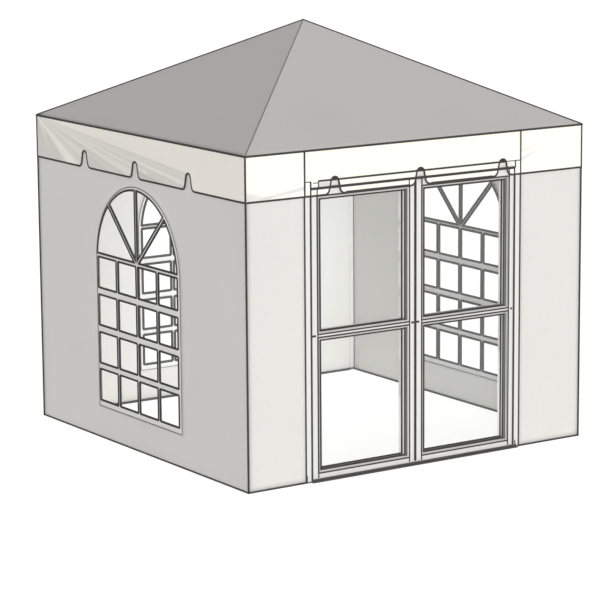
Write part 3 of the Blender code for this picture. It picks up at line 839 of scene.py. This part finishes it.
def build_bars(side):
    """The window's bars: light tapes welded on the film, and dark edging round every pane.

    The right window has dark straps too, behind its uprights.
    """
    strips = []
    shift = PANE_SHIFT[side]

    def tape(points, half_width, lift, shift=shift):
        profile = tape_profile(half_width, 0.0007) + [0, lift]
        strips.append(strip(side, np.asarray(points) - [shift, 0], FILM_FACE, profile))

    inner = PANE_COLUMNS[0][0]
    sill, first = HOLE_SILL, PANE_ROWS[0][0]
    height = (sill + first) / 2
    tape([(-HOLE_HALF, height), (HOLE_HALF, height)], (first - sill) / 2, 0.0008, 0)
    middle = (HOLE_HALF - inner) / 2
    arch = arc(middle, 0, np.pi, 49) + [0, SPRING]
    tape(np.vstack([[(middle, sill)], arch, [(-middle, sill)]]), (HOLE_HALF + inner) / 2, 0.0011, 0)
    uprights = [((a[1] + b[0]) / 2, (b[0] - a[1]) / 2) for a, b in zip(PANE_COLUMNS, PANE_COLUMNS[1:])]
    for place, half in uprights:
        tape([(place, sill + 0.01), (place, FAN_FOOT)], half, 0.0010)
    for low, high in zip(PANE_ROWS, [*PANE_ROWS[1:], (FAN_FOOT + SPOKE_HALF, None)]):
        place = (low[1] + high[0]) / 2
        tape([(inner - 0.01, place), (0.01 - inner, place)], (high[0] - low[1]) / 2, 0.0014)
    for angle in (45, 90, 135):
        foot = np.array([0, FAN_FOOT])
        tip = foot + (FAN_RADIUS - 0.012) * direction(angle)
        tape([foot, tip], SPOKE_HALF, 0.0012 + 0.0001 * (angle == 90))
    piece(f"window_bars_{side}", strips, "tape")
    panes = [rounded(rectangle(*c, *r), PANE_CORNER) for c in PANE_COLUMNS for r in PANE_ROWS]
    panes += [fan_pane(start, start + 45) - [FAN_SHIFT, 0] for start in (0, 45, 90, 135)]
    profile = round_profile(EDGING_RADIUS[side], 12)
    edging = [strip(side, pane - [shift, 0], FILM_FACE, profile, closed=True) for pane in panes]
    piece(f"pane_edging_{side}", edging, "edging")
    if side == "right":
        strap = tape_profile(STRAP_HALF, 0.0006)
        straps = [
            upright(side, place - shift, low + 0.006, high - 0.006, FILM_BACK - 0.0010, strap)
            for place, _ in uprights
            for low, high in PANE_ROWS
        ]
        piece("window_straps_right", straps, "hip")


def plain_sheet(left, right, foot, top):
    """A rectangle of cloth as a grid, standing out by the wall's billow."""
    columns = np.linspace(left, right, max(4, int((right - left) / 0.04)))
    rows = np.linspace(foot, top, max(4, int((top - foot) / 0.05)))
    along, up = np.meshgrid(columns, rows, indexing="ij")
    calm = np.clip(np.minimum(along - left, right - along) / 0.08, 0, 1)
    return np.stack([along, -(WALL_FACE + calm * billow(along, up)), up], -1)


def build_front_panels():
    """The door side's three cloth panels, and the dark hem over the door."""
    for part in ("front_left", "front_right", "front_over_door"):
        low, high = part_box(f"wall_{part}")
        shape = on_grid(plain_sheet(low.x, high.x, low.z, high.z))
        cloth = thickened(piece(f"wall_cloth_{part}", [shape], "wall"))
        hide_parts(f"wall_{part}")
    left, right = OUTER_LINES[0] + 0.002, OUTER_LINES[1] - 0.002
    profile = tape_profile(*OVER_DOOR_HEM)
    hem = level("front", left, right, HEADER_TOP + 0.019, WALL_FACE - 0.0004, profile)
    piece("over_door_hem", [hem], "binding")


def build_wall_trim():
    """Dark bindings at the walls' corners and feet, and at the valance's corners."""
    corners = {"front": "front_right", "right": "back_right", "back": "back_left", "left": "front_left"}
    for side, corner in corners.items():
        place = WALL_FACE + 0.0015
        shape = upright(side, place, 0.001, HEM - 0.003, place, round_profile(CORNER_RADIUS, 12))
        piece(f"corner_binding_{corner}", [shape], "binding")
        place = VALANCE_FACE - 0.001
        profile = round_profile(VALANCE_CORNER_RADIUS, 12)
        shape = upright(side, place, HEM - 0.004, EAVE - 0.004, place, profile)
        piece(f"valance_corner_{corner}", [shape], "binding")
    foot = tape_profile(*FOOT_BINDING) - [0, 0.0010]
    runs = {side: [(-WALL_FACE, WALL_FACE)] for side in WINDOW_SIDES}
    runs["front"] = [(-WALL_FACE, OUTER_LINES[0]), (OUTER_LINES[1], WALL_FACE)]
    for side, spans in runs.items():
        shapes = [level(side, *span, 0.0058, WALL_FACE, foot) for span in spans]
        if side != "front":
            half = FLAP_REACH[side] / 2
            inner = (0.0066, WALL_FACE - 0.0062, tape_profile(*FOOT_TAPE))
            flap = (0.0016, WALL_FACE - 0.0060 - half, tape_profile(0.0010, half))
            shapes += [level(side, -FLAP_END, FLAP_END, *tape) for tape in (inner, flap)]
        piece(f"foot_binding_{side}", shapes, "binding")


def build_front_seams():
    """Dark welts sewn on the front valance, over the door frame's edges behind it."""
    face = VALANCE_FACE + 0.0036
    left, right = OUTER_LINES
    inner_left, inner_right = INNER_LINES
    stiles = STILE_LINES
    upper, lower = HEADER_TOP + 0.004, HEADER_FOOT + 0.001
    uprights = (
        (left, HEM, EAVE - 0.006, 0.0068),
        (right, HEM, EAVE - 0.006, 0.0062),
        (inner_left, HEM, upper, 0.0066),
        (inner_right - 0.006, HEM, lower, 0.0066),
        (inner_right + 0.002, lower, upper, 0.0056),
        (stiles[0] + 0.012, lower, upper, 0.0044),
        (stiles[0], HEM, lower, 0.0050),
        (stiles[1], HEM, lower, 0.0048),
        (DOOR_MIDDLE, HEM, lower, 0.0066),
        (stiles[2], HEM, lower, 0.0048),
        (stiles[3], HEM, lower, 0.0048),
    )
    levels = (
        (left, inner_left, upper, 0.0034),
        (stiles[0] + 0.010, stiles[3] - 0.036, upper, 0.0070),
        (stiles[3] - 0.036, inner_right, upper, 0.0034),
        (inner_right, right, upper, 0.0034),
        (inner_left, inner_right - 0.004, lower, 0.0098),
        (-0.655, -0.095, HEM + 0.006, 0.0060),
        (0.095, 0.655, HEM + 0.0055, 0.0050),
    )
    piece("front_valance_welts", bands(uprights, levels, face, WELT_HALF_THICK), "binding")
    patches = (
        (-0.884, -0.800, 2.150, 0.0155),
        (0.800, 0.836, 2.1600, 0.0030),
        (0.796, 0.852, 2.1400, 0.0060),
    )
    piece("valance_patches", bands((), patches, face, PATCH_HALF_THICK), "patch")
    tack = (-0.938, -0.893, 2.1655, 0.0042)
    piece("valance_tack", bands((), [tack], face, PATCH_HALF_THICK), "bead")


# Door


def leaf_openings(side):
    """The two openings between a leaf's stiles and rails, as left, right, foot and top."""
    left, right = LEAF_SPANS[side]
    return [(left + STILE, right - STILE, foot, top) for foot, top in OPENING_HEIGHTS]


def leaf_loop(opening, insets, depth, profile):
    """A profile carried round a leaf's opening, at a depth behind the leaf's face.

    The insets move the loop inwards from the opening's left, right, foot and top.
    """
    left, right, foot, top = opening
    left_in, right_in, foot_in, top_in = insets
    corners = rectangle(left + left_in, right - right_in, foot + foot_in, top - top_in)
    return strip("front", corners, -LEAF_FACE - depth, profile, closed=True)


def cove_profile():
    """A moulding from the leaf's face down to its bead: flat on the face, then a quarter hollow.

    Its first value points into the loop that it is carried round.
    """
    turn = np.linspace(0.0, math.pi / 2, 9)
    hollow = np.column_stack([0.0140 - 0.0140 * np.cos(turn), 0.0014 - 0.0186 * np.sin(turn)])
    flat = [(-0.0080, 0.0004), (-0.0074, 0.0014)]
    under = [(0.0140, -0.0180), (0.0002, -0.0180)]
    return np.vstack([flat, hollow, under]) * [-1, 1]


# What differs between the leaves: how far the trim at the right of an opening is moved in, the inset of the
# dark edge at its left, half the back gasket's width, how far each opening's head is lowered, and the depth
# and half width of the dark lining
LEAF_TRIM = {
    "left": (0.0, 0.0392, 0.0036, (0.0, -0.0015), 0.0315, 0.0085),
    "right": (0.0080, 0.0378, 0.0016, (0.0, 0.0035), 0.0385, 0.0080),
}
GLAZING_FEET = (0.0195, 0.0070)
STILE_JOINTS = ((LEAF_FOOT, 0.060), (1.052, 1.075), (2.068, LEAF_TOP - 0.002))


def build_leaf_trim(side):
    """A leaf's grey bead covers and mouldings, whose grey is painted shade in the rebate, and its light and
    dark gaskets.

    Each loop is its kind, its insets at the left, right, foot and top, its depth, and half its width and
    half its thickness.
    """
    far, edge_left, back_half, heads, liner_depth, liner_half = LEAF_TRIM[side]
    kinds = {"bead_shade_covers": [], "coves": [], "setting_tapes": [], "spacers": [], "gaskets": []}
    for opening, foot, head in zip(leaf_openings(side), GLAZING_FEET, heads):
        edge_right, face_right = 0.0185 + far * 1.35, far * 0.6 - 0.0130
        loops = (
            # painted shade: the bead covers' grey stands in for shade on the bead in its rebate
            ("bead_shade_covers", (0.0170, 0.0170, 0.0065, 0.0065), 0.0176, (0.0168, 0.0006)),
            ("setting_tapes", (0.0165, 0.0295 + far / 4, 0.0015, 0.0115), 0.0168, (0.0042, 0.0016)),
            ("gaskets", (0.0068, face_right, -0.0080, head - 0.0042), -0.0006, (0.0056, 0.0020)),
            ("gaskets", (edge_left, edge_right, 0.0150, head + 0.0205), 0.0166, (0.0058, 0.0030)),
            ("gaskets", (0.0345, 0.0300, foot, 0.0160), 0.0556, (0.0048, 0.0020)),
            ("gaskets", GLASS_EDGE, liner_depth, (0.0006, liner_half)),
            ("spacers", SPACER_EDGE, 0.0520, (0.0005, 0.0050)),
            ("spacers", SPACER_EDGE, 0.0670, (0.0005, 0.0032)),
            ("gaskets", (0.0300, 0.0300, 0.0140, 0.0140), 0.0710, (back_half, 0.0012)),
        )
        for kind, insets, depth, halves in loops:
            kinds[kind].append(leaf_loop(opening, insets, depth, tape_profile(*halves)))
        kinds["coves"].append(leaf_loop(opening, (0.0085, far * 1.2 - 0.0005, 0, 0), 0, cove_profile()))
    left, right, foot = leaf_openings(side)[0][:3]
    ledge = (left + GLASS_EDGE[0], right - GLASS_EDGE[1], foot + 0.0190, -LEAF_FACE - 0.0440)
    kinds["gaskets"].append(level("front", *ledge, tape_profile(0.0006, 0.0100)))
    for place in (left + 0.0068, right + 0.0130 - far * 0.6):
        for low, high in STILE_JOINTS:
            joint = upright("front", place, low, high, -LEAF_FACE + 0.0006, tape_profile(0.0050, 0.0012))
            kinds["gaskets"].append(joint)
    finishes = {"bead_shade_covers": "bead", "coves": "cove", "setting_tapes": "light_rubber"}
    finishes |= {"spacers": "bright", "gaskets": "rubber"}
    for kind, finish in finishes.items():
        piece(f"leaf_{kind}_{side}", kinds[kind], finish, f"{side}_leaf")


def build_leaf_edges(side):
    """The rubber at a leaf's meeting edge, its small plate at the hinge side, and its latch plate."""
    body = f"{side}_leaf"
    hand = 1 if side == "left" else -1
    meeting = LEAF_SPANS[side][hand > 0]
    seals = [
        (meeting + hand * 0.0002, -LEAF_FACE - 0.0032, tape_profile(0.0006, 0.0030, 8)),
        (meeting + hand * 0.0006, -LEAF_BACK + 0.016, round_profile(0.0030, 8)),
    ]
    if side == "right":
        seals.append((meeting + 0.0052, -LEAF_FACE + 0.0006, tape_profile(0.0060, 0.0016, 8)))
    shapes = [upright("front", x, LEAF_FOOT + 0.002, LEAF_TOP - 0.002, *rest) for x, *rest in seals]
    piece(f"meeting_seal_{side}", shapes, "rubber", body)
    start = LEAF_SPANS[side][hand < 0] + hand * 0.0094
    end = start + hand * HINGE_PLATE_REACH[side]
    plate = level("front", start, end, LATCH_HEIGHT, -LEAF_FACE + 0.0008, tape_profile(*HINGE_PLATE))
    piece(f"hinge_side_plate_{side}", [plate], "dark_paint", body)
    ends = LATCH_ENDS[side]
    plate = level("front", *ends, LATCH_HEIGHT, -LEAF_FACE + 0.0014, tape_profile(*LATCH_PLATE))
    latch = piece(f"latch_plate_{side}", [plate], "dark_paint", body)
    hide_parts(f"door_leaf_{side}_latch")


def build_door_trim():
    """Dark seals on the fixed door frame: beside the cloth, round the leaves and at the jambs' feet."""
    left, right = OUTER_LINES
    inner_left, inner_right = INNER_LINES
    sides = [(left + 0.0010, 0.0, HEM + 0.01, 0.0066), (right + 0.0030, 0.0, HEM + 0.01, 0.0066)]
    feet = [(left, SILL_ENDS[0], 0.0046, 0.0045), (SILL_ENDS[1], right + 0.0030, 0.0046, 0.0045)]
    jambs = [(place, 0.002, HEADER_FOOT, 0.0082) for place in (inner_left + 0.0028, inner_right + 0.0012)]
    head = (inner_left, inner_right, HEADER_FOOT - 0.0015, 0.0050)
    seals = bands(sides, (), WALL_FACE + 0.0002, 0.0022) + bands((), feet, WALL_FACE + 0.0002, 0.0024)
    seals += bands(jambs, [head], WALL_FACE - 0.0006, 0.0020)
    piece("door_seals", seals, "rubber")
    face = level("front", *SILL_ENDS, 0.0108, WALL_FACE - 0.0006, tape_profile(0.0106, 0.0034))
    nosing = level("front", *SILL_ENDS, 0.0022, WALL_FACE + 0.0140, tape_profile(0.0021, 0.0145))
    piece("threshold_cover", [face, nosing], "sill")
    brackets = [(left + 0.007, 0.004, 0.056, 0.0062), (0.886, 0.004, 0.054, 0.0042)]
    piece("jamb_brackets", bands(brackets, (), WALL_FACE + 0.0012, 0.0018), "dark_paint")


def build_post_trim():
    """A cord up each corner post's inner angle, and a dark tape round that angle at the foot plate."""
    place = POST_FACE - 0.0065
    leg, inner = place - 0.0430, place + 0.0014
    cords, tapes = [], []
    for side in SIDES:
        cords.append(upright(side, place - 0.017, 0.006, 2.335, place, round_profile(CORD_RADIUS, 8)))
        for inset, height, halves in ((0.0, 0.0102, (0.0010, 0.0044)), (0.0065, 0.0057, (0.0068, 0.0008))):
            reach = inner - inset
            angle = [(leg, -reach, height), (reach, -reach, height), (reach, -leg, height)]
            tapes.append(side_shape(carried(angle, tape_profile(*halves), UP), side))
    piece("inner_corner_cords", cords, "binding")
    piece("post_foot_tapes", tapes, "binding")


def dress_frame():
    """New finishes for the CAD nodes that stay in view."""
    finishes = {"post": "post", "eave_rail": "post", "rafter": "metal", "roof_crown": "metal", "door": "door"}
    for name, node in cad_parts.items():
        chosen = next((f for start, f in finishes.items() if name.startswith(start)), None)
        if "_glass_" in name:
            chosen = "glass"
        elif name.endswith("_latch"):
            chosen = "dark_paint"
        if chosen:
            node.data.materials.clear()
            node.data.materials.append(FINISH[chosen])


# Studio

FLOOR_GLOW = 0.21
FLOOR_REACH = 300.0

# The key light comes from this direction, and the direction's length sets its strength
KEY = (0.11, -0.39, 0.42)
KEY_STRENGTH = math.pi * math.sqrt(sum(k * k for k in KEY))
SKY = 0.50
ROOM_LIGHT = 7.8

# The camera's place, its azimuth, elevation and roll, and its lens in millimetres
CAMERA_PLACE = (-11.622, -17.308, 4.972)
CAMERA_TURN = tuple(math.radians(a) for a in (-33.77, 10.80, -0.427))
LENS = 164.66


def lamp(name, kind, **values):
    """A light in the scene, with these values."""
    light = bpy.data.lights.new(name, kind)
    for key, value in values.items():
        setattr(light, key, value)
    return placed(name, light)


def build_studio():
    """A wide white floor, a white sky, one soft key light from the front and a soft light in the tent."""
    mesh = bpy.data.meshes.new("studio_floor")
    spread = np.linspace(-FLOOR_REACH, FLOOR_REACH, 9)
    x, y = np.meshgrid(spread, spread, indexing="ij")
    points, faces = on_grid(np.stack([x, y, np.full(x.shape, -0.0005)], -1))
    mesh.from_pydata(points.tolist(), [], faces)
    mesh.materials.append(floor_finish())
    placed("studio_floor", mesh)
    world = bpy.data.worlds.new("studio_sky")
    world.use_nodes = True
    bpy.context.scene.world = world
    graph = Graph(world.node_tree)
    seen = graph.add("ShaderNodeLightPath").outputs["Is Camera Ray"]
    strength = graph.between(seen, 0, 1, SKY, 1.0)
    graph.give(world.node_tree.nodes["Background"], Color=(1, 1, 1, 1), Strength=strength)
    key = lamp("key", "SUN", energy=KEY_STRENGTH, angle=math.radians(30), use_shadow=False)
    key.rotation_mode = "QUATERNION"
    key.rotation_quaternion = Vector(KEY).to_track_quat("Z", "Y")
    room = lamp("room", "AREA", shape="RECTANGLE", size=2.5, size_y=1.9, energy=ROOM_LIGHT)
    room.data.color = (0.955, 0.978, 1.03)
    room.data.spread = math.radians(60)
    room.location = (0.35, -1.25, 1.15)
    room.rotation_euler = (math.radians(90), 0, 0)
    room.visible_camera = room.visible_glossy = room.visible_transmission = False


def build_camera():
    """The photograph's camera, from a fit to the tent's corners."""
    azimuth, elevation, roll = CAMERA_TURN
    level_part = math.cos(elevation)
    back = [math.sin(azimuth) * level_part, -math.cos(azimuth) * level_part, math.sin(elevation)]
    right = unit(np.cross(UP, back))
    up = np.cross(back, right)
    tilted_right = math.cos(roll) * right + math.sin(roll) * up
    tilted_up = -math.sin(roll) * right + math.cos(roll) * up
    data = bpy.data.cameras.new("camera")
    data.lens = LENS
    data.clip_end = 900
    camera = placed("camera", data)
    turn = Matrix(np.column_stack([tilted_right, tilted_up, back]).tolist()).to_4x4()
    camera.matrix_world = Matrix.Translation(CAMERA_PLACE) @ turn
    bpy.context.scene.camera = camera


GROUPS = {"cloth": cloth_group(), "paint": paint_group(), "stitches": stitch_group()}
DARK = (0.048, 0.047, 0.044)
IVORY = (0.945, 0.910, 0.828)
FINISH = {
    "roof": cloth_finish("roof_cloth_grey", (0.450, 0.444, 0.430)),
    # The valances' second colours are painted shade for their folds; the door side's is bluer, so that it
    # stays grey in the stronger light there
    "valance": cloth_finish("valance_cloth_ivory", IVORY, fold_shade_colour=(0.545, 0.537, 0.510)),
    "valance_front": cloth_finish("valance_cloth_front", IVORY, fold_shade_colour=(0.43, 0.455, 0.505)),
    "wall": cloth_finish("wall_cloth_grey", (0.690, 0.683, 0.652), soil=0.02),
    "tape": cloth_finish("window_tape", (0.80, 0.795, 0.78), threads=9000.0),
    "patch": cloth_finish("patch_cloth", (0.64, 0.63, 0.61)),
    "film": clear_finish("clear_film", (0.97, 0.98, 0.98), 0.05, 6.0, 0.004, 0.05),
    "glass": clear_finish("door_glass", (0.95, 0.98, 0.97), 0.05, 2.0, 0.0006, 0.02),
    "binding": binding_finish("dark_binding", DARK),
    "edging": binding_finish("pane_edging", DARK, stitched=False),
    "hip": binding_finish("hip_piping", (0.11, 0.108, 0.10), stitched=False),
    "rubber": rubber_finish("seal_rubber", DARK),
    "sill": rubber_finish("threshold_rubber", (0.086, 0.085, 0.081)),
    # The bead covers' grey is painted shade in the door's rebates; the valance's tack takes the same grey
    "bead": rubber_finish("bead_cover", (0.24, 0.238, 0.231)),
    # The cove's second, darker colour is painted shade in its hollow
    "cove": rubber_finish("cove_moulding", (0.53, 0.525, 0.51), (0.20, 0.198, 0.19)),
    "light_rubber": rubber_finish("setting_tape", (0.62, 0.615, 0.60)),
    "door": paint_finish("door_powder_coat", (0.725, 0.72, 0.70)),
    "dark_paint": paint_finish("dark_anodised", (0.050, 0.049, 0.046)),
    "post": paint_finish("post_powder_coat", (0.76, 0.75, 0.72)),
    "metal": metal_finish("frame_metal", (0.66, 0.66, 0.65)),
    "bright": metal_finish("polished_spacer", (0.93, 0.93, 0.92), polished=True),
}

build_camera()
build_studio()
build_roof()
for side in SIDES:
    build_valance(side)
for side in WINDOW_SIDES:
    build_window_wall(side)
    build_film(side)
    build_bars(side)
build_front_panels()
build_wall_trim()
build_front_seams()
for side in ("left", "right"):
    build_leaf_trim(side)
    build_leaf_edges(side)
build_door_trim()
build_post_trim()
dress_frame()

settings = bpy.context.scene.view_settings
settings.view_transform = "Standard"
settings.look = "None"
